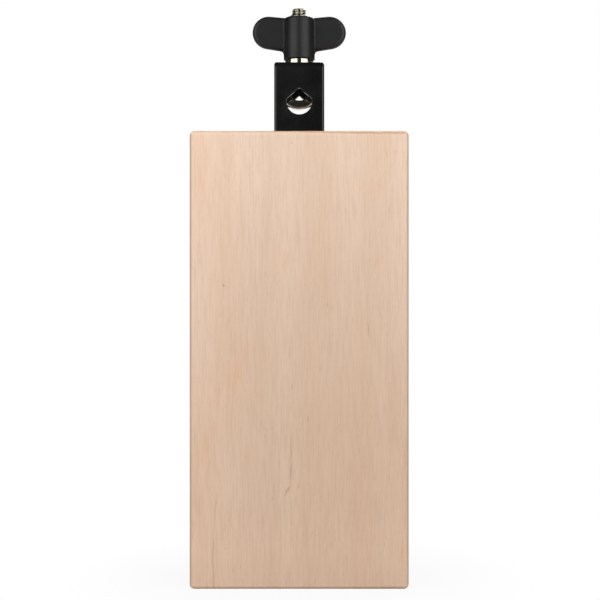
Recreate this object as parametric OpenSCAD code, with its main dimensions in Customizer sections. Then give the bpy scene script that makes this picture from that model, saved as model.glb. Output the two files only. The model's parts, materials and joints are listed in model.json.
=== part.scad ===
// Hollow wooden percussion block that stands on its open mouth, with a rod clamp on its closed end.
// The origin is at the middle of the mouth, +Z points up to the clamp and -Y to the playing board.

/* [Sound box] */
// Width of the box
body_w = 110; // [80:1:160]
// Height of the box from its mouth to its closed end
body_h = 230; // [150:1:320]
// Depth of the box over the playing board and the back board
body_d = 50; // [40:1:80]
// Thickness of the playing board and of the back board
panel_t = 8; // [5:0.5:12]
// Thickness of the two side boards
side_t = 10; // [6:0.5:16]
// Height of the solid block in the closed end
end_t = 34; // [30:1:60]
// Rounding of the outer edges
edge_r = 2.5; // [1:0.5:4.5]

/* [Bracket] */
// Width of the steel strap
strap_w = 26; // [21:0.5:32]
// Thickness of the steel strap
strap_t = 2.5; // [2:0.1:3]
// Rounding of the strap's long edges
strap_edge_r = 1.2; // [0.3:0.1:1.2]
// Outer radius of the strap's bends
bend_r = 4; // [3.5:0.1:6]
// Height of the loop over the box
loop_h = 38.9; // [37:0.1:50]
// Depth of the loop over both legs
loop_d = 30; // [26:0.5:40]
// Gap between the short leg and the closed end
leg_gap = 0.4; // [0.2:0.1:2]
// Rounding of the long leg's lower corners
leg_corner_r = 6; // [2:0.5:9]
// Upper screw below the closed end
screw_drop = 10; // [8:0.5:14]
// Distance between the two screws
screw_pitch = 14; // [12:0.5:16]
// Lower screw above the end of the long leg
screw_edge = 9; // [7:0.5:12]

/* [Rod hole] */
// Radius of the round part of the rod hole
hole_r = 6.5; // [6.1:0.1:7.5]
// Centre of the round part above the closed end
hole_rise = 17.8; // [14:0.1:20]
// Height above that centre where the round part turns into the V
hole_shoulder = 2; // [1:0.1:3]
// Height above that centre where the sides of the V would meet
hole_tip = 7.3; // [7:0.1:9.5]
// Rounding in the tip of the V
hole_tip_r = 0.9; // [0.3:0.1:1.2]

/* [Eye bolt] */
// Radius of the hole in the eye
eye_r = 5.75; // [5:0.05:6]
// Wall of the eye between its hole and its rim
eye_wall = 4.4; // [4.1:0.1:5.5]
// Width of the eye along the rod
eye_w = 8; // [7:0.5:12]
// Rounding of the eye's edges
eye_edge_r = 2; // [0.4:0.1:2]
// Diameter of the threaded shank
shank_d = 8; // [6:0.1:9]
// Length of the shank that stands out of the wing nut
shank_stand = 3.3; // [1:0.1:12]
// Bevel on the end of the shank
shank_bevel = 0.6; // [0.3:0.1:1.5]

/* [Wing nut] */
// Diameter of the flat washer
washer_d = 15.2; // [13:0.1:20]
// Thickness of the flat washer
washer_t = 1.6; // [1:0.1:3]
// Diameter of the bush's foot
foot_d = 14.8; // [13:0.1:15.5]
// Height of the bush's foot
foot_t = 1.5; // [1:0.1:4]
// Diameter of the bush inside the grip
bush_d = 10.5; // [10.3:0.1:12.5]
// Length of the bush that stands out of the grip
bush_stand = 1.2; // [0.5:0.1:4]
// Diameter of the grip's boss at its foot
boss_d = 16.4; // [15.8:0.1:20]
// Diameter of the grip's boss at its top
boss_top_d = 16.2; // [14.5:0.1:18]
// Height of the grip's boss
boss_h = 22.2; // [20:0.1:28]
// Rounding of the boss's top edge
boss_edge_r = 1.2; // [0.4:0.1:1.6]
// Span over both wings
wing_span = 49.4; // [42:0.2:64]
// Radius of the round end of a wing
lobe_r = 8.65; // [7:0.05:9]
// Height of that round end's centre above the grip's foot
lobe_rise = 14.4; // [12:0.1:18]
// Thickness of a wing at its round end
lobe_t = 4.8; // [4.3:0.1:6]
// Thickness of a wing at the bush
root_t = 4.4; // [4.3:0.1:8]
// Lower edge of a wing at the bush, above the grip's foot
root_low = 3.8; // [2:0.1:6]
// Upper edge of a wing at the bush, above the grip's foot
root_high = 22.1; // [19:0.1:23]
// Rounding of a wing's edges
wing_edge_r = 2.1; // [0.6:0.1:2.1]
// Fillet between a wing's lower edge and the boss
root_fillet_r = 2.6; // [0.8:0.1:3]

/* [Screws] */
// Diameter of a screw's head
head_d = 8.6; // [6:0.1:11]
// Height of a screw's head
head_h = 2.6; // [1.5:0.1:3.5]
// Diameter of a screw's shank
screw_d = 4.5; // [3:0.1:5]
// Length of a screw below its head
screw_l = 30; // [20:1:38]
// Point at the end of a screw
screw_point = 4; // [2:0.5:6]
// Blunt end of that point
point_d = 0.8; // [0.4:0.1:1.2]
// Length of the cross slot's blades
slot_l = 4.6; // [3:0.1:5]
// Width of the cross slot's blades
slot_w = 1; // [0.6:0.1:1.4]
// Depth of the cross slot
slot_depth = 1.5; // [0.6:0.1:1.5]

/* [Clearances] */
// Between the drawn-up eye and the underside of the loop
eye_stop_gap = 0.3; // [0.1:0.1:1]
// Around the shank in the bush
thread_gap = 0.05; // [0.02:0.01:0.1]
// Around the shank in the washer
washer_gap = 0.25; // [0.1:0.05:0.6]
// Around the shank in the loop
loop_gap = 0.5; // [0.2:0.1:1]
// Around a screw in the strap
strap_hole_gap = 0.3; // [0.1:0.1:0.6]
// Around a screw in the wood
pilot_gap = 0.05; // [0.02:0.01:0.1]

/* [Hidden] */
$fn = 64;
lobe_steps = 24;
edge_steps = 4;
cut_over = 1;
tip_lap = 0.1;
root_sink = 0.5;

// Depth from the playing face to the screw heads, which the origin halves
depth_all = body_d + strap_t + head_h;
y_front = -depth_all / 2;
y_back = y_front + body_d;
inner_w = body_w - 2 * side_t;
inner_d = body_d - 2 * panel_t;

// The loop stands on the back board with its long leg and reaches forward over the closed end
y_loop_back = y_back + strap_t;
y_loop_front = y_loop_back - loop_d;
y_bolt = y_loop_back - loop_d / 2;
z_loop = body_h + loop_h;
z_hole = body_h + hole_rise;
leg_l = screw_drop + screw_pitch + screw_edge;
z_leg = body_h - leg_l;
screw_heights = [body_h - screw_drop, body_h - screw_drop - screw_pitch];

// The stack on the bolt, from the loop upwards
z_eye = z_loop - strap_t - eye_stop_gap - eye_r - eye_wall;
z_foot = z_loop + washer_t;
z_grip = z_foot + foot_t;
z_bush_top = z_grip + boss_h + bush_stand;
z_shank_top = z_bush_top + shank_stand;
x_lobe = wing_span / 2 - lobe_r;
x_root = bush_d / 2 - root_sink;

wood = "#E8C9AE";
end_grain = "#D9B592";
black_coat = "#1E1E1E";
black_plastic = "#2E2D2C";
plated_steel = "#C9C6C0";

// Rectangle with round corners, centred
module round_rect(w, h, r) {
    square([w - 2 * r, h], center = true);
    square([w, h - 2 * r], center = true);
    for (x = [-1, 1], y = [-1, 1])
        translate([x * (w / 2 - r), y * (h / 2 - r)])
            circle(r);
}

// Upright edge with its top rounded over, from the axis out to r
module edge_profile(t, r) {
    square([r, t - r]);
    translate([0, t - r])
        intersection() {
            circle(r);
            square(r);
        }
}

// Board of thickness t whose upper edges and corners are rounded over, centred on the axis
module eased_board(w, h, t, r) {
    a = w / 2 - r;
    b = h / 2 - r;
    translate([-a, -b, 0])
        cube([2 * a, 2 * b, t]);
    for (turn = [0, 180])
        rotate([0, 0, turn]) {
            translate([a, b, 0])
                rotate([90, 0, 0])
                    linear_extrude(2 * b)
                        edge_profile(t, r);
            translate([-a, b, 0])
                rotate([90, 0, 90])
                    linear_extrude(2 * a)
                        edge_profile(t, r);
            translate([a, b, 0])
                rotate_extrude(angle = 90)
                    edge_profile(t, r);
            translate([-a, b, 0])
                rotate([0, 0, 90])
                    rotate_extrude(angle = 90)
                        edge_profile(t, r);
        }
}

// Holes for the bracket's screws, drilled in from the back by depth
module screw_holes(d, y_start, depth) {
    for (z = screw_heights)
        translate([0, y_start, z])
            rotate([90, 0, 0])
                cylinder(d = d, h = depth);
}

module front_panel() {
    color(wood)
        translate([0, y_front + panel_t, body_h / 2])
            rotate([90, 0, 0])
                eased_board(body_w, body_h, panel_t, edge_r);
}

module back_panel() {
    color(wood)
        difference() {
            translate([0, y_back - panel_t, body_h / 2])
                rotate([-90, 0, 0])
                    eased_board(body_w, body_h, panel_t, edge_r);
            screw_holes(screw_d + 2 * pilot_gap, y_back + cut_over, panel_t + 2 * cut_over);
        }
}

// Board between the two panels, with its two outer corners rounded, seen from the front as a left side
module side_board() {
    translate([-body_w / 2, y_back - panel_t, 0])
        rotate([90, 0, 0])
            linear_extrude(inner_d) {
                translate([edge_r, 0])
                    square([side_t - edge_r, body_h]);
                translate([0, edge_r])
                    square([edge_r, body_h - 2 * edge_r]);
                for (z = [edge_r, body_h - edge_r])
                    translate([edge_r, z])
                        circle(edge_r);
            }
}

module left_side() {
    color(wood)
        side_board();
}

module right_side() {
    color(wood)
        mirror([1, 0, 0])
            side_board();
}

module end_block() {
    color(end_grain)
        difference() {
            translate([-inner_w / 2, y_front + panel_t, body_h - end_t])
                cube([inner_w, inner_d, end_t]);
            screw_holes(screw_d + 2 * pilot_gap, y_back - panel_t + cut_over,
                        screw_l - strap_t - panel_t + 2 * cut_over);
        }
}

// Cross-section of the strap: width along X, thickness along Y
module strap_section() {
    round_rect(strap_w, strap_t, strap_edge_r);
}

// Upright stretch of the strap with its outer face at y_out, on the side that dir points to
module strap_leg(y_out, dir, z_low) {
    translate([0, y_out - dir * strap_t / 2, z_low])
        linear_extrude(z_loop - bend_r - z_low)
            strap_section();
}

// Quarter bend that carries on a leg with its outer face at y_out
module strap_bend(y_out, dir) {
    translate([0, y_out - dir * bend_r, z_loop - bend_r])
        mirror([0, dir < 0 ? 1 : 0, 0])
            rotate([90, 0, 90])
                rotate_extrude(angle = 90)
                    translate([bend_r - strap_t / 2, 0])
                        rotate(90)
                            strap_section();
}

// Outline of the long leg with its lower corners rounded
module leg_outline() {
    x_corner = strap_w / 2 - leg_corner_r;
    translate([-strap_w / 2, leg_corner_r])
        square([strap_w, leg_l + loop_h - leg_corner_r]);
    translate([-x_corner, 0])
        square([2 * x_corner, leg_corner_r]);
    for (side = [-1, 1])
        translate([side * x_corner, leg_corner_r])
            circle(leg_corner_r);
}

// Round below, and closed above by a V that centres any rod that is drawn up into it
module rod_hole() {
    half_w = sqrt(hole_r * hole_r - hole_shoulder * hole_shoulder);
    slope = atan(half_w / (hole_tip - hole_shoulder));
    flank_d = hole_tip_r - tip_lap;
    tip_low = hole_tip - flank_d / sin(slope);
    flank_x = flank_d * cos(slope);
    flank_z = tip_low + flank_d * sin(slope);
    base_z = -hole_r - cut_over;
    base_x = (hole_tip - base_z) * tan(slope);
    intersection() {
        union() {
            circle(hole_r);
            translate([-hole_r, (hole_shoulder + hole_tip) / 2])
                square(2 * hole_r);
        }
        union() {
            polygon([[-base_x, base_z], [base_x, base_z], [flank_x, flank_z], [-flank_x, flank_z]]);
            translate([0, tip_low])
                circle(hole_tip_r);
        }
    }
}

module bracket() {
    color(black_coat)
        difference() {
            union() {
                intersection() {
                    strap_leg(y_loop_back, 1, z_leg);
                    translate([0, y_loop_back + cut_over, z_leg])
                        rotate([90, 0, 0])
                            linear_extrude(strap_t + 2 * cut_over)
                                leg_outline();
                }
                strap_leg(y_loop_front, -1, body_h + leg_gap);
                strap_bend(y_loop_back, 1);
                strap_bend(y_loop_front, -1);
                translate([0, y_loop_back - bend_r, z_loop - strap_t / 2])
                    rotate([90, 0, 0])
                        linear_extrude(loop_d - 2 * bend_r)
                            strap_section();
            }
            translate([0, y_loop_back + cut_over, z_hole])
                rotate([90, 0, 0])
                    linear_extrude(loop_d + 2 * cut_over)
                        rod_hole();
            translate([0, y_bolt, z_loop - strap_t - cut_over])
                cylinder(d = shank_d + 2 * loop_gap, h = strap_t + 2 * cut_over);
            screw_holes(screw_d + 2 * strap_hole_gap, y_loop_back + cut_over, strap_t + 2 * cut_over);
        }
}

// Pan head, shank and point, with the underside of the head at zero
module wood_screw() {
    crown = head_h / 2;
    difference() {
        rotate_extrude() {
            square([head_d / 2, head_h - crown]);
            translate([0, head_h - crown])
                square([head_d / 2 - crown, crown]);
            translate([head_d / 2 - crown, head_h - crown])
                intersection() {
                    circle(crown);
                    square(crown);
                }
        }
        for (turn = [0, 90])
            rotate([0, 0, turn])
                translate([0, 0, head_h - slot_depth / 2 + cut_over / 2])
                    cube([slot_l, slot_w, slot_depth + cut_over], center = true);
    }
    translate([0, 0, screw_point - screw_l])
        cylinder(d = screw_d, h = screw_l - screw_point);
    translate([0, 0, -screw_l])
        cylinder(d1 = point_d, d2 = screw_d, h = screw_point);
}

module bracket_screws() {
    color(black_coat)
        for (z = screw_heights)
            translate([0, y_loop_back, z])
                rotate([-90, 0, 0])
                    wood_screw();
}

module eye_bolt() {
    shank_low = z_eye + eye_r + eye_wall / 2;
    color(plated_steel) {
        translate([0, y_bolt, z_eye])
            rotate([90, 0, 0])
                rotate_extrude()
                    translate([eye_r + eye_wall / 2, 0])
                        round_rect(eye_wall, eye_w, eye_edge_r);
        translate([0, y_bolt, shank_low])
            cylinder(d = shank_d, h = z_shank_top - shank_bevel - shank_low);
        translate([0, y_bolt, z_shank_top - shank_bevel])
            cylinder(d1 = shank_d, d2 = shank_d - 2 * shank_bevel, h = shank_bevel);
    }
}

module clamp_washer() {
    color(plated_steel)
        translate([0, y_bolt, z_loop])
            difference() {
                cylinder(d = washer_d, h = washer_t);
                translate([0, 0, -cut_over])
                    cylinder(d = shank_d + 2 * washer_gap, h = washer_t + 2 * cut_over);
            }
}

module thread_bush() {
    color(plated_steel)
        translate([0, y_bolt, z_foot])
            difference() {
                union() {
                    cylinder(d = foot_d, h = foot_t);
                    cylinder(d = bush_d, h = z_bush_top - z_foot);
                }
                translate([0, 0, -cut_over])
                    cylinder(d = shank_d + 2 * thread_gap, h = z_bush_top - z_foot + 2 * cut_over);
            }
}

// Outline of one wing, drawn in by inset: from the boss round the lobe and back, with tangents to the lobe
function tangent_angle(z, side) =
    atan2(z - lobe_rise, x_root - x_lobe) - side * acos(lobe_r / norm([x_root - x_lobe, z - lobe_rise]));
function wing_outline(inset) =
    let (high = tangent_angle(root_high, 1), low = tangent_angle(root_low, -1))
    concat([[x_root, root_high - inset]],
           [for (i = [0 : lobe_steps])
               let (turn = high + (low - high) * i / lobe_steps)
               [x_lobe + (lobe_r - inset) * cos(turn), lobe_rise + (lobe_r - inset) * sin(turn)]],
           [[x_root, root_low + inset]]);

// Half the thickness of a wing, which tapers from the boss to the lobe's centre and on
function wing_half_t(x) = (root_t + (lobe_t - root_t) * (x - x_root) / (x_lobe - x_root)) / 2;

// Ring of a wing where its edge has turned by the angle, on the front or the back
function wing_ring(turn, side) =
    [for (p = wing_outline(wing_edge_r * (1 - cos(turn))))
        [p[0], side * (wing_half_t(p[0]) - wing_edge_r * (1 - sin(turn))), p[1]]];

// One wing with rounded edges, from inside the boss out to its round end
module wing() {
    turns = [for (i = [0 : edge_steps]) 90 * i / edge_steps];
    rings = concat([for (i = [edge_steps : -1 : 0]) wing_ring(turns[i], -1)],
                   [for (turn = turns) wing_ring(turn, 1)]);
    n = len(rings[0]);
    last = len(rings) - 1;
    bands = [for (k = [0 : last - 1], j = [0 : n - 1], half = [0, 1])
                let (a = k * n + j, b = k * n + (j + 1) % n)
                half == 0 ? [a, b + n, b] : [a, a + n, b + n]];
    caps = [for (j = [1 : n - 2], end = [0, 1])
               end == 0 ? [0, j, j + 1] : [last * n, last * n + j + 1, last * n + j]];
    polyhedron([for (ring = rings, p = ring) p], concat(bands, caps));
}

// Fills the corner between a wing's lower edge and the boss
module root_fillet() {
    reach = boss_d / 2 + root_fillet_r;
    low = lobe_rise - lobe_r - root_low;
    z_edge = root_low + low * (reach - x_root) / (x_lobe - x_root);
    fillet_t = root_t - 2 * wing_edge_r;
    translate([0, fillet_t / 2, z_edge - root_fillet_r])
        rotate([90, 0, 0])
            linear_extrude(fillet_t)
                difference() {
                    translate([x_root, 0])
                        square([reach - x_root, root_fillet_r]);
                    translate([reach, 0])
                        circle(root_fillet_r);
                }
}

module wing_grip() {
    color(black_plastic)
        translate([0, y_bolt, z_grip])
            difference() {
                union() {
                    rotate_extrude() {
                        polygon([[0, 0], [boss_d / 2, 0], [boss_top_d / 2, boss_h - boss_edge_r],
                                 [0, boss_h - boss_edge_r]]);
                        translate([0, boss_h - boss_edge_r])
                            square([boss_top_d / 2 - boss_edge_r, boss_edge_r]);
                        translate([boss_top_d / 2 - boss_edge_r, boss_h - boss_edge_r])
                            intersection() {
                                circle(boss_edge_r);
                                square(boss_edge_r);
                            }
                    }
                    for (side = [0, 1])
                        mirror([side, 0, 0]) {
                            wing();
                            root_fillet();
                        }
                }
                translate([0, 0, -cut_over])
                    cylinder(d = bush_d, h = boss_h + 2 * cut_over);
            }
}

front_panel();
back_panel();
left_side();
right_side();
end_block();
bracket();
bracket_screws();
eye_bolt();
clamp_washer();
thread_bush();
wing_grip();
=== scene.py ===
import json
import math

import bmesh
import bpy
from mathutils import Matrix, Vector


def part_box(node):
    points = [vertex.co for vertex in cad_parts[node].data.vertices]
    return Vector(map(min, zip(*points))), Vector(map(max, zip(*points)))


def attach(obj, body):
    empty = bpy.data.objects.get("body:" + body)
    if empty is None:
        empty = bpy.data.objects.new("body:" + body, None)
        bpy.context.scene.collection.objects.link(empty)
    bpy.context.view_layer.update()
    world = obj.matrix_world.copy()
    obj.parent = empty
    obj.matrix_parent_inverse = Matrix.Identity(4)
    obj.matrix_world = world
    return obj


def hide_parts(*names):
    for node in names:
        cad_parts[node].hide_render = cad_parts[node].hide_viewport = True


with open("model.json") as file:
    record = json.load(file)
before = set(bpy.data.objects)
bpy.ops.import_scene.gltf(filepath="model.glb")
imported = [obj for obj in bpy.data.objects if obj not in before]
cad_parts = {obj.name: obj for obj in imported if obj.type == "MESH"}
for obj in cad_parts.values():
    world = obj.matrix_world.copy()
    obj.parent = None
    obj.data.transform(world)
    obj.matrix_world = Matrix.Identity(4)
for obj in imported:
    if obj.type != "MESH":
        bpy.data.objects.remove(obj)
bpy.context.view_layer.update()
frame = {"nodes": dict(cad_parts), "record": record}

mm = 0.001
scene = bpy.context.scene
scene.view_settings.view_transform = "Standard"
print("frame loaded:", ", ".join(sorted(frame["nodes"])))


# sRGB hex code to linear red, green, blue and alpha
def linearColour(code):
    parts = [int(code[i:i + 2], 16) / 255 for i in (1, 3, 5)]
    return tuple(p / 12.92 if p <= 0.04045 else ((p + 0.055) / 1.055) ** 2.4 for p in parts) + (1.0,)


# adds one node: links holds sockets by name or number, with a node, a socket or a plain value for each
def addNode(tree, kind, links=None, **settings):
    made = tree.nodes.new("ShaderNode" + kind)
    for key, value in settings.items():
        setattr(made, key, value)
    for key, value in (links or {}).items():
        if isinstance(value, bpy.types.Node):
            value = value.outputs[0]
        if isinstance(value, bpy.types.NodeSocket):
            tree.links.new(value, made.inputs[key])
        else:
            made.inputs[key].default_value = value
    return made


def newMaterial(name):
    material = bpy.data.materials.new(name)
    material.use_nodes = True
    material.node_tree.nodes.clear()
    return material, material.node_tree


# ends a material: one pattern gives its roughness and one its bump, and the rest are the shader's own values
def closeMaterial(tree, finish, colour, roughBy, reliefBy):
    low, high = finish["roughFrom"]
    smooth, rough = finish["roughness"]
    roughness = addNode(tree, "MapRange", {"Value": roughBy, "From Min": low, "From Max": high,
                                           "To Min": smooth, "To Max": rough})
    bump = addNode(tree, "Bump", {"Height": reliefBy, "Strength": finish["bump"],
                                  "Distance": finish["bumpDepth"] * mm})
    shader = addNode(tree, "BsdfPrincipled", {"Base Color": colour, "Roughness": roughness, "Normal": bump,
                                              **finish["shader"]})
    addNode(tree, "OutputMaterial", {"Surface": shader})


# scale of a noise whose marks have this size in millimetres
def markScale(size):
    return 1 / (size * mm)


# a new mesh with a node's shape alone, free of the imported normals
def copyShape(nodeName):
    source = frame["nodes"][nodeName].data
    mesh = bpy.data.meshes.new(nodeName + "Shape")
    mesh.from_pydata([v.co[:] for v in source.vertices], [], [p.vertices[:] for p in source.polygons])
    return mesh


# shades a finished mesh and puts it in the place of its node
def placePiece(name, mesh, body, nodeName, material, sharpAngle=35):
    piece = bpy.data.objects.new(name, mesh)
    scene.collection.objects.link(piece)
    mesh.materials.clear()
    mesh.materials.append(material)
    mesh.shade_smooth()
    mesh.set_sharp_from_angle(angle=math.radians(sharpAngle))
    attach(piece, body)
    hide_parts(nodeName)


# how edges are rounded: steps and profile of the round, the angle in degrees above which an edge is sharp,
# and the angle and the distance in millimetres within which faces and points are joined first
easing = {"steps": 4, "profile": 0.5, "sharp": 40, "flat": 0.3, "merge": 0.001}


# rounds the sharp edges whose middle passes the test, by a radius in millimetres
def easeEdges(mesh, radius, passes):
    work = bmesh.new()
    work.from_mesh(mesh)
    bmesh.ops.remove_doubles(work, verts=work.verts, dist=easing["merge"] * mm)
    bmesh.ops.dissolve_limit(work, angle_limit=math.radians(easing["flat"]), verts=work.verts,
                             edges=work.edges)
    found = [e for e in work.edges if len(e.link_faces) == 2
             and e.calc_face_angle(0) > math.radians(easing["sharp"])
             and passes((e.verts[0].co + e.verts[1].co) / 2 / mm)]
    bmesh.ops.bevel(work, geom=found, offset=radius * mm, segments=easing["steps"],
                    profile=easing["profile"], affect="EDGES", clamp_overlap=True)
    bmesh.ops.recalc_face_normals(work, faces=work.faces)
    work.to_mesh(mesh)
    work.free()
    return len(found)


# camera straight in front of the playing board, a little above the middle of the block
viewpoint = {"place": (0.4, -682.55, 145.1), "lens": 78.5, "sensor": 36, "clip": (10, 50000)}
camera = bpy.data.cameras.new("studioCamera")
camera.lens = viewpoint["lens"]
camera.sensor_width = viewpoint["sensor"]
camera.clip_start, camera.clip_end = (c * mm for c in viewpoint["clip"])
cameraObject = bpy.data.objects.new("studioCamera", camera)
cameraObject.location = Vector(viewpoint["place"]) * mm
cameraObject.rotation_euler = (math.radians(90), 0, 0)   # level, looking along +Y
scene.collection.objects.link(cameraObject)
scene.camera = cameraObject

# a large softbox close by on each side of the camera, and a larger one high up behind the block
softboxes = {
    "leftBox": {"place": (-375, -388, 450), "aim": (0, 0, 400), "size": (562, 600), "watts": 1.95},
    "rightBox": {"place": (375, -388, 450), "aim": (0, 0, 400), "size": (562, 600), "watts": 2.1},
    "backBox": {"place": (350, 900, 1100), "aim": (0, 0, 150), "size": (900, 900), "watts": 9.0},
}
for boxName, box in softboxes.items():
    lamp = bpy.data.lights.new(boxName, "AREA")
    lamp.shape = "RECTANGLE"
    lamp.size, lamp.size_y = (s * mm for s in box["size"])
    lamp.energy = box["watts"]
    lampObject = bpy.data.objects.new(boxName, lamp)
    lampObject.location = Vector(box["place"]) * mm
    away = Vector(box["place"]) - Vector(box["aim"])
    lampObject.rotation_euler = away.to_track_quat("Z", "Y").to_euler()
    scene.collection.objects.link(lampObject)

# white studio: seen as white, but it lights the object only weakly and mirrors white from behind alone
studio = {"white": "#FFFFFF", "seen": 1.0, "fill": 0.48, "mirrored": 0.02, "backFrom": 0.93, "backTo": 0.995}
world = bpy.data.worlds.new("whiteStudio")
scene.world = world
world.use_nodes = True
tree = world.node_tree
tree.nodes.clear()
path = addNode(tree, "LightPath")
glossy = path.outputs["Is Glossy Ray"]
direction = addNode(tree, "SeparateXYZ", {0: addNode(tree, "TexCoord").outputs["Generated"]})
behind = addNode(tree, "MapRange", {"Value": direction.outputs["Y"], "From Min": studio["backFrom"],
                                    "From Max": studio["backTo"]}, interpolation_type="SMOOTHSTEP")
mirroredWhite = addNode(tree, "Math", {0: behind, 1: glossy}, operation="MULTIPLY")
direct = addNode(tree, "Math", {0: path.outputs["Is Camera Ray"], 1: path.outputs["Is Transmission Ray"]},
                 operation="MAXIMUM")
seen = addNode(tree, "Math", {0: direct, 1: mirroredWhite}, operation="MAXIMUM")
level = addNode(tree, "MapRange", {"Value": glossy, "To Min": studio["fill"], "To Max": studio["mirrored"]})
dim = addNode(tree, "Background", {"Color": linearColour(studio["white"]), "Strength": level})
white = addNode(tree, "Background", {"Color": linearColour(studio["white"]), "Strength": studio["seen"]})
addNode(tree, "OutputWorld", {"Surface": addNode(tree, "MixShader", {0: seen, 1: dim, 2: white})})

# pale floor: white to the eye and mirrored white behind the block, with a soft shadow left under it; it is
# see-through from below and cut open under the mouth, so that light reaches the inside of the box
floorSheet = {
    "half": 3000, "drop": 0.02, "openInset": 1.2, "paper": "#BCBCBA", "fibre": 3, "roughness": (0.85, 1.0),
    "shadowShare": 0.09, "shadowReach": (40, 140), "mirroredFrom": (20, 300),
}
half = floorSheet["half"] * mm
inset = floorSheet["openInset"] * mm
west, south = (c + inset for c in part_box("front_panel")[0][:2])
east, north = (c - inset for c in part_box("back_panel")[1][:2])
outer = [(-half, -half, 0), (half, -half, 0), (half, half, 0), (-half, half, 0)]
inner = [(west, south, 0), (east, south, 0), (east, north, 0), (west, north, 0)]
floorMesh = bpy.data.meshes.new("paperFloor")
floorMesh.from_pydata(outer + inner, [], [(i, (i + 1) % 4, 4 + (i + 1) % 4, 4 + i) for i in range(4)])
floor = bpy.data.objects.new("paperFloor", floorMesh)
floor.location.z = -floorSheet["drop"] * mm
scene.collection.objects.link(floor)

paper, tree = newMaterial("matteWhitePaper")
path = addNode(tree, "LightPath")
place = addNode(tree, "TexCoord").outputs["Object"]
fibre = addNode(tree, "TexNoise", {"Vector": place, "Scale": markScale(floorSheet["fibre"])})
smooth, rough = floorSheet["roughness"]
roughness = addNode(tree, "MapRange", {"Value": fibre, "To Min": smooth, "To Max": rough})
matte = addNode(tree, "BsdfDiffuse", {"Color": linearColour(floorSheet["paper"]), "Roughness": roughness})
glow = addNode(tree, "Emission", {"Color": linearColour(studio["white"]), "Strength": studio["seen"]})
near, far = (y * mm for y in floorSheet["mirroredFrom"])
behind = addNode(tree, "MapRange", {"Value": addNode(tree, "SeparateXYZ", {0: place}).outputs["Y"],
                                    "From Min": near, "From Max": far})
mirroredWhite = addNode(tree, "Math", {0: behind, 1: path.outputs["Is Glossy Ray"]}, operation="MULTIPLY")
seen = addNode(tree, "Math", {0: path.outputs["Is Camera Ray"], 1: mirroredWhite}, operation="MAXIMUM")
near, far = (r * mm for r in floorSheet["shadowReach"])
reach = addNode(tree, "VectorMath", {0: place}, operation="LENGTH").outputs["Value"]
whiter = addNode(tree, "MapRange", {"Value": reach, "From Min": near, "From Max": far,
                                    "To Min": 1 - floorSheet["shadowShare"], "To Max": 1.0},
                 interpolation_type="SMOOTHSTEP")
lit = addNode(tree, "Math", {0: seen, 1: whiter}, operation="MULTIPLY")
above = addNode(tree, "MixShader", {0: lit, 1: matte, 2: glow})
fromBelow = addNode(tree, "NewGeometry").outputs["Backfacing"]
sheet = addNode(tree, "MixShader", {0: fromBelow, 1: above, 2: addNode(tree, "BsdfTransparent")})
addNode(tree, "OutputMaterial", {"Surface": sheet})
floorMesh.materials.append(paper)
print("stage: camera, three softboxes, white studio and floor")

# birch boards, planed, fine sanded and left with a thin matt lacquer: the fibres show as hair lines along the
# board and the pores as short dark dashes, both drawn wider than real so that they show, and the cut ends
# are browner because they drink more lacquer
birch = {
    "pale": "#E5CBB5", "warm": "#DBBBA0", "line": "#C6A082", "pore": "#A98262",
    "stain": "#DFA67A", "mineral": "#8E4424", "cutEnd": "#D3AD8E", "cutEndPore": "#B98C66",
    # edge below is the colour of the painted shade on the rounds of the long edges
    "edge": "#A88468", "glue": "#8A6444",
    "shader": {"IOR": 1.5}, "roughness": (0.46, 0.6), "roughFrom": (0.3, 0.7),
    "bump": 0.25, "bumpDepth": 0.05,
    "cutFrom": (0.1, 0.5), "footLate": 0.5, "leftLate": 0.45, "lateReach": (0, 30),
    "cutPore": 0.7, "cutPoreDetail": 2, "cutPoreFrom": (0.45, 0.7), "cutPoreShare": 0.7,
    "edgeShadeRise": (0.5, 0.85), "edgeShadeFall": (0.985, 0.999), "edgeShadeShare": 0.6, "seamHalf": 0.2, "seamShare": 0.6,
}
# the grain's marks, one laid over the other: their size across, deep and along the board in millimetres, the
# noise, the values of it between which the mark comes in, its shade and its share at most, which for the tone
# is the board's own warmShare
birchGrain = {
    "tone": {"size": (24, 24, 170), "detail": 3, "roughness": 0.55, "from": (0.35, 0.7), "shade": "warm"},
    "ring": {"size": (3.6, 3.6, 110), "detail": 3, "roughness": 0.6, "from": (0.45, 0.75), "shade": "warm",
             "share": 0.3},
    "hair": {"size": (0.75, 0.75, 14), "detail": 2, "roughness": 0.65, "from": (0.42, 0.72), "shade": "line",
             "share": 0.3},
    "pore": {"size": (0.55, 0.55, 3.4), "detail": 1, "roughness": 0.5, "from": (0.6, 0.74), "shade": "pore",
             "share": 0.12},
    "fleck": {"size": (1.2, 1.2, 6), "detail": 1, "roughness": 0.5, "from": (0.66, 0.78), "shade": "mineral",
              "share": 0.14},
}
# painted light on the playing board: shares of red, green and blue from the top down, a painted lighter top
# and a painted highlight on the round of the foot, and a painted lighter left side
boardPaintedLight = {
    "heights": [
        (228, (1.03, 1.03, 1.04)), (150, (0.96, 0.95, 0.955)), (80, (0.95, 0.92, 0.9)),
        (40, (0.98, 0.94, 0.915)), (20, (1.03, 0.99, 0.97)), (2.8, (1.03, 0.99, 0.97)),
        (1.7, (1.24, 1.2, 1.18)), (0.7, (1.095, 1.055, 1.035)),
    ],
    "leftPaintedLight": 1.1, "leftReach": (-55, -15),
}
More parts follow.
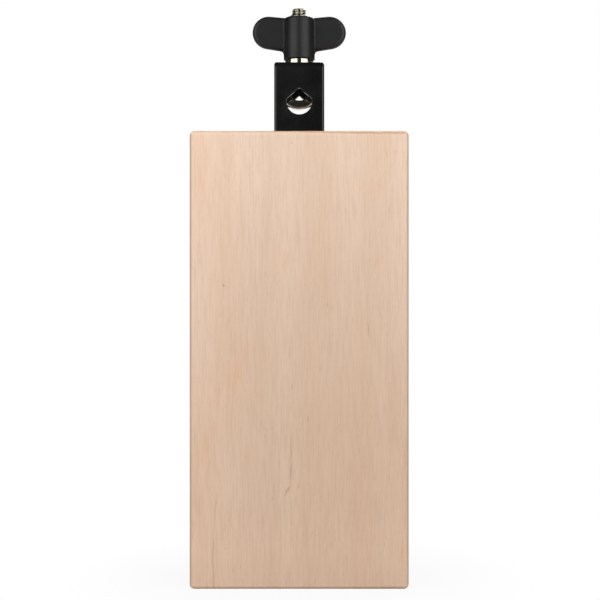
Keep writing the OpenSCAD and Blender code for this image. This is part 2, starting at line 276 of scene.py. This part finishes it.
# marks on the playing board: place across and up, half width and half length in millimetres, lean in degrees
# and share at most; they go right through the board, their outlines wander and the hair lines tear them
boardMarks = {
    "stain": [
        (-31.0, 108.0, 5.0, 21.0, -19, 0.28), (-46.0, 73.0, 4.5, 15.0, -18, 0.24),
        (39.6, 202.0, 3.5, 8.0, 3, 0.2), (40.2, 164.0, 3.5, 9.0, 0, 0.25),
        (-6.6, 165.0, 4.0, 8.0, 0, 0.35), (-40.5, 98.0, 3.5, 12.0, -4, 0.2),
        (-49.0, 208.0, 5.0, 24.0, 0, 0.18), (51.8, 18.0, 1.4, 13.0, 0, 0.6),
    ],
    "mineral": [
        (-37.8, 152.4, 0.85, 0.85, 0, 0.65), (-3.9, 223.7, 0.5, 0.6, 0, 0.6),
        (34.5, 130.5, 0.45, 6.0, 2, 0.45), (-4.0, 68.0, 0.5, 17.0, 0, 0.4),
        (-4.4, 57.5, 0.5, 10.0, -3, 0.4), (-5.9, 49.6, 1.1, 4.0, -20, 0.62),
        (-42.3, 39.0, 0.5, 11.0, -6, 0.25), (-43.0, 12.0, 0.75, 30.0, 0, 0.28),
        (-0.4, 51.9, 0.5, 2.0, 0, 0.5), (14.0, 142.5, 0.35, 2.0, 0, 0.3),
        (4.5, 85.4, 0.4, 2.5, 0, 0.4), (-3.5, 101.5, 0.4, 2.2, 0, 0.35),
        (-37.0, 20.7, 0.55, 0.6, 0, 0.4), (-29.2, 11.2, 0.5, 0.6, 0, 0.4),
        (-13.5, 45.6, 0.5, 1.6, -10, 0.35),
    ],
    "through": 1000000, "wander": 1.6, "wanderSize": 9, "fade": (1.0, 0.1), "tornFrom": (0.3, 0.6),
    "tornLeast": 0.35,
}


# lays the grain's marks over the pale wood, and gives the hair lines and the pores for the relief as well
def grainColour(tree, place, warmShare):
    colour = linearColour(birch["pale"])
    noises, shares = {}, {}
    for mark, grain in birchGrain.items():
        scale = [markScale(s) for s in grain["size"]]
        stretched = addNode(tree, "Mapping", {"Vector": place, "Scale": scale})
        noises[mark] = addNode(tree, "TexNoise", {"Vector": stretched, "Scale": 1.0,
                                                  "Detail": grain["detail"], "Roughness": grain["roughness"]})
        low, high = grain["from"]
        shares[mark] = addNode(tree, "MapRange", {"Value": noises[mark], "From Min": low, "From Max": high,
                                                  "To Max": grain.get("share", warmShare)})
        shade = linearColour(birch[grain["shade"]])
        colour = addNode(tree, "Mix", {0: shares[mark], 6: colour, 7: shade}, data_type="RGBA").outputs[2]
    return colour, noises["hair"], shares["pore"]


# paints light into the playing board's colour: lighter at the top, on the round of the foot and on the left
def paintedLightColour(tree, where, colour):
    height, paintedTint = boardPaintedLight["heights"][0]
    paintedTint += (1.0,)
    for lower, shares in boardPaintedLight["heights"][1:]:
        share = addNode(tree, "MapRange", {"Value": where.outputs["Z"], "From Min": height * mm,
                                           "From Max": lower * mm})
        paintedTint = addNode(tree, "Mix", {0: share, 6: paintedTint, 7: shares + (1.0,)}, data_type="RGBA").outputs[2]
        height = lower
    left, right = (x * mm for x in boardPaintedLight["leftReach"])
    paintedSideLight = addNode(tree, "MapRange", {"Value": where.outputs["X"], "From Min": left, "From Max": right,
                                      "To Min": boardPaintedLight["leftPaintedLight"], "To Max": 1.0}).outputs[0]
    for change in (paintedTint, paintedSideLight):
        changed = addNode(tree, "Mix", {0: 1.0, 6: colour, 7: change}, data_type="RGBA",
                          blend_type="MULTIPLY")
        colour = changed.outputs[2]
    return colour


def markColour(tree, spot, hair, colour):
    noise = addNode(tree, "TexNoise", {"Vector": spot, "Scale": markScale(boardMarks["wanderSize"])})
    centred = addNode(tree, "VectorMath", {0: noise.outputs["Color"], 1: (0.5, 0.5, 0.5)},
                      operation="SUBTRACT")
    wander = boardMarks["wander"] * mm
    moved = addNode(tree, "VectorMath", {0: centred, 1: (wander, wander, wander), 2: spot},
                    operation="MULTIPLY_ADD")
    low, high = boardMarks["tornFrom"]
    torn = addNode(tree, "MapRange", {"Value": hair, "From Min": low, "From Max": high,
                                      "To Min": boardMarks["tornLeast"], "To Max": 1.0})
    rim, core = boardMarks["fade"]
    for shade in ("stain", "mineral"):
        total = 0.0
        for across, up, wide, long, lean, most in boardMarks[shade]:
            size = (wide * mm, boardMarks["through"] * mm, long * mm)
            mark = addNode(tree, "Mapping", {"Vector": moved, "Location": (across * mm, 0, up * mm),
                                             "Rotation": (0, math.radians(-lean), 0), "Scale": size},
                           vector_type="TEXTURE")
            reach = addNode(tree, "VectorMath", {0: mark}, operation="LENGTH").outputs["Value"]
            share = addNode(tree, "MapRange", {"Value": reach, "From Min": rim, "From Max": core,
                                               "To Max": most}, interpolation_type="SMOOTHSTEP")
            total = addNode(tree, "Math", {0: total, 1: share}, operation="MAXIMUM")
        share = addNode(tree, "Math", {0: total, 1: torn}, operation="MULTIPLY")
        marked = addNode(tree, "Mix", {0: share, 6: colour, 7: linearColour(birch[shade])}, data_type="RGBA")
        colour = marked.outputs[2]
    return colour


# brown cut ends, with round pores in place of lines, drawn coarser than real so that they show; along is the
# axis that the fibres follow
def cutEndColour(tree, spot, where, facing, along, playing, colour):
    if playing:
        # its foot browns only where it faces well down, and its left half browns later round both ends
        foot = addNode(tree, "Math", {0: facing.outputs[along], 1: -1.0, 2: -birch["footLate"]},
                       operation="MULTIPLY_ADD")
        cut = addNode(tree, "Math", {0: facing.outputs[along], 1: foot}, operation="MAXIMUM")
        left, right = (x * mm for x in birch["lateReach"])
        late = addNode(tree, "MapRange", {"Value": where.outputs["X"], "From Min": left, "From Max": right,
                                          "To Min": birch["leftLate"], "To Max": 0.0})
        cut = addNode(tree, "Math", {0: cut, 1: late}, operation="SUBTRACT")
    else:
        cut = addNode(tree, "Math", {0: facing.outputs[along]}, operation="ABSOLUTE")
    low, high = birch["cutFrom"]
    cutShare = addNode(tree, "MapRange", {"Value": cut, "From Min": low, "From Max": high},
                       interpolation_type="SMOOTHSTEP")
    pores = addNode(tree, "TexNoise", {"Vector": spot, "Scale": markScale(birch["cutPore"]),
                                       "Detail": birch["cutPoreDetail"]})
    low, high = birch["cutPoreFrom"]
    poreShare = addNode(tree, "MapRange", {"Value": pores, "From Min": low, "From Max": high,
                                           "To Max": birch["cutPoreShare"]})
    brown = addNode(tree, "Mix", {0: poreShare, 6: linearColour(birch["cutEnd"]),
                                  7: linearColour(birch["cutEndPore"])}, data_type="RGBA").outputs[2]
    return addNode(tree, "Mix", {0: cutShare, 6: colour, 7: brown}, data_type="RGBA").outputs[2]


# painted shade: a darker line along the two long edges, where their rounds turn away from the light
def edgeShadeColour(tree, facing, colour):
    aside = addNode(tree, "Math", {0: facing.outputs["X"]}, operation="ABSOLUTE")
    low, high = birch["edgeShadeRise"]
    rise = addNode(tree, "MapRange", {"Value": aside, "From Min": low, "From Max": high,
                                      "To Max": birch["edgeShadeShare"]}, interpolation_type="SMOOTHSTEP")
    low, high = birch["edgeShadeFall"]
    fall = addNode(tree, "MapRange", {"Value": aside, "From Min": low, "From Max": high,
                                      "To Min": 1.0, "To Max": 0.0})
    share = addNode(tree, "Math", {0: rise, 1: fall}, operation="MULTIPLY")
    lined = addNode(tree, "Mix", {0: share, 6: colour, 7: linearColour(birch["edge"])}, data_type="RGBA")
    return lined.outputs[2]


# glue lines where the boards meet, wider than real ones so that they show
def seamColour(tree, where, colour):
    for seam in (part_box("front_panel")[1].y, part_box("back_panel")[0].y):
        onSeam = addNode(tree, "Math", {0: where.outputs["Y"], 1: seam, 2: birch["seamHalf"] * mm},
                         operation="COMPARE")
        share = addNode(tree, "Math", {0: onSeam, 1: birch["seamShare"]}, operation="MULTIPLY")
        glued = addNode(tree, "Mix", {0: share, 6: colour, 7: linearColour(birch["glue"])}, data_type="RGBA")
        colour = glued.outputs[2]
    return colour


def birchBoard(name, shift, warmShare, alongX=False, edgeShaded=False, playing=False):
    material, tree = newMaterial(name)
    coords = addNode(tree, "TexCoord")
    spot = coords.outputs["Object"]
    where = addNode(tree, "SeparateXYZ", {0: spot})
    facing = addNode(tree, "SeparateXYZ", {0: coords.outputs["Normal"]})
    turned = (0, math.radians(90), 0) if alongX else (0, 0, 0)
    moved = [s * mm for s in shift]
    place = addNode(tree, "Mapping", {"Vector": spot, "Location": moved, "Rotation": turned})
    colour, hair, poreShare = grainColour(tree, place, warmShare)
    if playing:
        # painted light: the playing board lighter at the top, on its foot's round and on the left side
        colour = paintedLightColour(tree, where, colour)
        colour = markColour(tree, spot, hair, colour)
    colour = cutEndColour(tree, spot, where, facing, "X" if alongX else "Z", playing, colour)
    if edgeShaded:
        # painted shade along the long edges
        colour = edgeShadeColour(tree, facing, colour)
    colour = seamColour(tree, where, colour)
    relief = addNode(tree, "Math", {0: hair, 1: poreShare}, operation="SUBTRACT")
    closeMaterial(tree, birch, colour, hair, relief)
    return material


# shift takes each board's grain from another place in the tree, and warmShare is how warm its tone gets
boards = {
    "front_panel": {"shift": (0, 0, 0), "warmShare": 0.7, "edgeShaded": True, "playing": True},
    "back_panel": {"shift": (310, 90, 40), "warmShare": 1.1, "edgeShaded": True},
    "left_side": {"shift": (-170, 220, 130), "warmShare": 1.2},
    "right_side": {"shift": (530, 410, 270), "warmShare": 0.9},
    "end_block": {"shift": (75, 640, 510), "warmShare": 0.6, "alongX": True},
}
for nodeName, board in boards.items():
    mesh = frame["nodes"][nodeName].data
    mesh.materials.clear()
    mesh.materials.append(birchBoard("lacqueredBirch_" + nodeName, **board))
print("boards: five birch boards, the playing board with its own streaks and stains")


# a black finish whose shade drifts with its broad pattern and whose bump is its fine one
def blackFinish(name, finish):
    material, tree = newMaterial(name)
    coords = addNode(tree, "TexCoord").outputs["Object"]
    noises = {}
    for pattern in ("fine", "broad"):
        noises[pattern] = addNode(tree, "TexNoise", {"Vector": coords, "Scale": markScale(finish[pattern]),
                                                     "Detail": finish["detail"]})
    low, high = finish["paleFrom"]
    share = addNode(tree, "MapRange", {"Value": noises["broad"], "From Min": low, "From Max": high})
    black, pale = linearColour(finish["black"]), linearColour(finish["pale"])
    colour = addNode(tree, "Mix", {0: share, 6: black, 7: pale}, data_type="RGBA").outputs[2]
    closeMaterial(tree, finish, colour, noises[finish["roughBy"]], noises["fine"])
    return material


# mild steel strap, powder coated: satin black with a faint orange peel, a little paler where the coat is thin
powderCoat = {
    "black": "#0E0E0E", "pale": "#141413", "paleFrom": (0.35, 0.7), "fine": 0.8, "broad": 18, "detail": 2,
    "shader": {"IOR": 1.5}, "roughness": (0.2, 0.27), "roughFrom": (0.3, 0.7), "roughBy": "broad",
    "bump": 0.12, "bumpDepth": 0.05,
}
# the strap keeps its solid's shape, with the rim of the front leg's rod hole eased
strap = {"rimEase": 0.28, "rimHalf": 7.2, "rimHeights": (240.2, 256.2), "frontLegBefore": 0}


def onFrontRim(p):
    low, high = strap["rimHeights"]
    return p.y < strap["frontLegBefore"] and abs(p.x) < strap["rimHalf"] and low < p.z < high


coat = blackFinish("satinPowderCoat", powderCoat)
strapMesh = copyShape("bracket")
rims = easeEdges(strapMesh, strap["rimEase"], onFrontRim)
placePiece("strapBracket", strapMesh, "block", "bracket", coat)
screwMesh = frame["nodes"]["bracket_screws"].data
screwMesh.materials.clear()
screwMesh.materials.append(coat)
print("bracket: rounded", rims, "rim edges of the front rod hole, and coated the screws")

# nickel on turned steel: bright, a little yellow, with fine rings left by the tool, drawn coarser than real
# so that they show, and painted shade in the roots of the thread
nickel = {
    "bright": "#E3DDCF", "worn": "#C6BCA5", "wornFrom": (0.4, 0.7), "patch": 5, "patchDetail": 3,
    "ring": (6, 6, 0.35), "ringDetail": 2, "rootShade": "#2E261C", "rootShadeShare": 0.6, "tipBare": 0.05,
    "shader": {"Metallic": 1.0}, "roughness": (0.07, 0.16), "roughFrom": (0.3, 0.7),
    "bump": 0.05, "bumpDepth": 0.02,
}


# painted shade: darkens the thread between its neck and its flat tip, most at the root and not at all on the
# crest
def threadRootShade(tree, coords, thread, colour):
    fromAxis = addNode(tree, "VectorMath", {0: coords, 1: (0, thread["axis"] * mm, 0)}, operation="SUBTRACT")
    flat = addNode(tree, "VectorMath", {0: fromAxis, 1: (1, 1, 0)}, operation="MULTIPLY")
    reach = addNode(tree, "VectorMath", {0: flat}, operation="LENGTH").outputs["Value"]
    deep = addNode(tree, "MapRange", {"Value": reach, "From Min": thread["root"] * mm,
                                      "From Max": thread["crest"] * mm,
                                      "To Min": nickel["rootShadeShare"], "To Max": 0.0})
    height = addNode(tree, "SeparateXYZ", {0: coords}).outputs["Z"]
    tip = (thread["top"] - nickel["tipBare"]) * mm
    above = addNode(tree, "Math", {0: height, 1: thread["neckTop"] * mm}, operation="GREATER_THAN")
    below = addNode(tree, "Math", {0: height, 1: tip}, operation="LESS_THAN")
    between = addNode(tree, "Math", {0: above, 1: below}, operation="MULTIPLY")
    share = addNode(tree, "Math", {0: deep, 1: between}, operation="MULTIPLY")
    rootShaded = addNode(tree, "Mix", {0: share, 6: colour, 7: linearColour(nickel["rootShade"])}, data_type="RGBA")
    return rootShaded.outputs[2]


def nickelPlate(name, thread=None):
    material, tree = newMaterial(name)
    coords = addNode(tree, "TexCoord").outputs["Object"]
    stretched = addNode(tree, "Mapping", {"Vector": coords, "Scale": [markScale(s) for s in nickel["ring"]]})
    rings = addNode(tree, "TexNoise", {"Vector": stretched, "Scale": 1.0, "Detail": nickel["ringDetail"]})
    patch = addNode(tree, "TexNoise", {"Vector": coords, "Scale": markScale(nickel["patch"]),
                                       "Detail": nickel["patchDetail"]})
    low, high = nickel["wornFrom"]
    share = addNode(tree, "MapRange", {"Value": patch, "From Min": low, "From Max": high})
    bright, worn = linearColour(nickel["bright"]), linearColour(nickel["worn"])
    colour = addNode(tree, "Mix", {0: share, 6: bright, 7: worn}, data_type="RGBA").outputs[2]
    if thread:
        # painted shade in the roots of the thread
        colour = threadRootShade(tree, coords, thread, colour)
    closeMaterial(tree, nickel, colour, rings, rings)
    return material


# eye bolt: a ring with eased edges, a plain neck and a rolled M8 thread drawn as one long screw surface; its
# place, bore, outline and top come from the frame
rodEye = next(m for m in frame["record"]["mounts"] if m["name"] == "rod_eye")
boltLow, boltHigh = ([c / mm for c in corner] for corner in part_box("eye_bolt"))
eyeBolt = {
    "axis": rodEye["pos_m"][1] / mm, "eyeHeight": rodEye["pos_m"][2] / mm,
    "eyeInner": rodEye["dims"]["r_mm"], "eyeOuter": boltHigh[0], "eyeWide": boltHigh[1] - boltLow[1],
    "eyeEdge": 0.7, "edgeSteps": 6, "ringSteps": 96, "neckSink": 0.6, "neckTop": 268.0,
    "crest": 4.0, "root": 3.25, "pitch": 1.25, "flank": 1.45, "rootFlat": 0.16, "tipBevel": 0.6,
    "top": boltHigh[2], "threadSteps": 40, "rowsPerTurn": 10, "sharpAngle": 50,
}
# washer and bush keep their solids' shapes with eased edges: edgeBand is how near the washer's top, or the
# bush's foot and collar, an edge counts as theirs, and the collar is eased only beyond collarReach
washer = {"upperEase": 0.12, "lowerEase": 0.4, "edgeBand": 0.3}
bush = {"footEase": 0.12, "shoulderEase": 0.45, "collarEase": 0.9, "collarReach": 4.8, "edgeBand": 0.3}
seat, collar = (corner.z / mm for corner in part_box("thread_bush"))
washerSplit = seat - washer["edgeBand"]
footLimit, collarLimit = seat + bush["edgeBand"], collar - bush["edgeBand"]


def onCollarRim(p):
    return p.z > collarLimit and math.hypot(p.x, p.y - eyeBolt["axis"]) > bush["collarReach"]


plate = nickelPlate("brightNickelPlate")
washerMesh = copyShape("clamp_washer")
easeEdges(washerMesh, washer["upperEase"], lambda p: p.z > washerSplit)
easeEdges(washerMesh, washer["lowerEase"], lambda p: p.z < washerSplit)
placePiece("flatWasher", washerMesh, "block", "clamp_washer", plate)
bushMesh = copyShape("thread_bush")
easeEdges(bushMesh, bush["footEase"], lambda p: p.z < footLimit)
easeEdges(bushMesh, bush["shoulderEase"], lambda p: footLimit < p.z < collarLimit)
easeEdges(bushMesh, bush["collarEase"], onCollarRim)
placePiece("threadBush", bushMesh, "wing_nut", "thread_bush", plate)


# the ring's section: its wall by its width, with rounded corners
def eyeSection():
    halfWall = (eyeBolt["eyeOuter"] - eyeBolt["eyeInner"]) / 2
    halfWide = eyeBolt["eyeWide"] / 2
    edge, steps = eyeBolt["eyeEdge"], eyeBolt["edgeSteps"]
    points = []
    for side, end, start in ((1, 1, 0), (-1, 1, 90), (-1, -1, 180), (1, -1, 270)):
        for i in range(steps + 1):
            turn = math.radians(start + 90 * i / steps)
            points.append((side * (halfWall - edge) + edge * math.cos(turn),
                           end * (halfWide - edge) + edge * math.sin(turn)))
    return points


def ringPoints():
    middle = (eyeBolt["eyeInner"] + eyeBolt["eyeOuter"]) / 2
    points = []
    for i in range(eyeBolt["ringSteps"]):
        turn = math.tau * i / eyeBolt["ringSteps"]
        for out, wide in eyeSection():
            reach = middle + out
            points.append((reach * math.cos(turn), eyeBolt["axis"] + wide,
                           eyeBolt["eyeHeight"] + reach * math.sin(turn)))
    return points


# how far the thread stands from its axis: flat root, sloped flanks, narrow crest and a bevelled tip
def threadReach(z, turn):
    if z < eyeBolt["neckTop"]:
        return eyeBolt["crest"]
    phase = (z / eyeBolt["pitch"] - turn / math.tau) % 1.0
    swing = 1 - abs(2 * phase - 1)   # 0 at the root, 1 at the crest
    rise = min(1.0, max(0.0, swing * eyeBolt["flank"] - eyeBolt["rootFlat"]))
    reach = eyeBolt["root"] + (eyeBolt["crest"] - eyeBolt["root"]) * rise
    return min(reach, eyeBolt["crest"] - eyeBolt["tipBevel"] + eyeBolt["top"] - z)


def shankPoints():
    wall = eyeBolt["eyeOuter"] - eyeBolt["eyeInner"]
    low = eyeBolt["eyeHeight"] + eyeBolt["eyeInner"] + wall * eyeBolt["neckSink"]   # inside the ring's wall
    rows = int((eyeBolt["top"] - low) / eyeBolt["pitch"] * eyeBolt["rowsPerTurn"])
    points = []
    for r in range(rows + 1):
        z = low + (eyeBolt["top"] - low) * r / rows
        for c in range(eyeBolt["threadSteps"]):
            turn = math.tau * c / eyeBolt["threadSteps"]
            reach = threadReach(z, turn)
            points.append((reach * math.cos(turn), eyeBolt["axis"] + reach * math.sin(turn), z))
    return points


# faces between rows of points: each row is a loop, and in a ring the last row joins the first
def tubeFaces(rows, columns, first=0, isRing=False):
    faces = []
    for r in range(rows if isRing else rows - 1):
        row, following = first + r * columns, first + (r + 1) % rows * columns
        for c in range(columns):
            beside = (c + 1) % columns
            faces.append((row + c, row + beside, following + beside, following + c))
    return faces


ring, shank = ringPoints(), shankPoints()
around = eyeBolt["threadSteps"]
first, last = len(ring), len(ring) + len(shank) - around
faces = tubeFaces(eyeBolt["ringSteps"], len(eyeSection()), isRing=True)
faces += tubeFaces(len(shank) // around, around, first)
faces.append(tuple(range(last, last + around)))
faces.append(tuple(reversed(range(first, first + around))))
boltMesh = bpy.data.meshes.new("eyeBolt")
boltMesh.from_pydata([tuple(v * mm for v in p) for p in ring + shank], [], faces)
work = bmesh.new()
work.from_mesh(boltMesh)
bmesh.ops.recalc_face_normals(work, faces=work.faces)
work.to_mesh(boltMesh)
work.free()
threadedPlate = nickelPlate("threadedNickelPlate", eyeBolt)
placePiece("eyeBolt", boltMesh, "eye_bolt", "eye_bolt", threadedPlate, eyeBolt["sharpAngle"])
print("clamp metal: washer, bush and an eye bolt with", len(faces), "faces")

# glass-filled nylon, moulded in a spark-eroded tool: soft satin black with faint paler flow patches; the
# tool's grain is drawn coarser than real so that it shows
nylon = {
    "black": "#131312", "pale": "#191817", "paleFrom": (0.35, 0.7), "fine": 0.45, "broad": 9, "detail": 2,
    "shader": {"IOR": 1.44}, "roughness": (0.38, 0.46), "roughFrom": (0.3, 0.7), "roughBy": "fine",
    "bump": 0.15, "bumpDepth": 0.04,
}
# wing nut: the solid's shape, remeshed fine and relaxed so that wings and boss flow together as moulded
wingNut = {"voxel": 0.3, "relaxRounds": 3, "relaxShare": 0.5, "sharpAngle": 70}
plastic = blackFinish("mouldedBlackNylon", nylon)
roughPiece = bpy.data.objects.new("wingRough", copyShape("wing_grip"))
scene.collection.objects.link(roughPiece)
remesh = roughPiece.modifiers.new("remesh", "REMESH")
remesh.mode = "VOXEL"
remesh.voxel_size = wingNut["voxel"] * mm
relax = roughPiece.modifiers.new("relax", "SMOOTH")
relax.factor = wingNut["relaxShare"]
relax.iterations = wingNut["relaxRounds"]
graph = bpy.context.evaluated_depsgraph_get()
wingMesh = bpy.data.meshes.new_from_object(roughPiece.evaluated_get(graph))
bpy.data.objects.remove(roughPiece)
placePiece("wingGrip", wingMesh, "wing_nut", "wing_grip", plastic, wingNut["sharpAngle"])
print("wing nut:", len(wingMesh.polygons), "faces after the remesh")
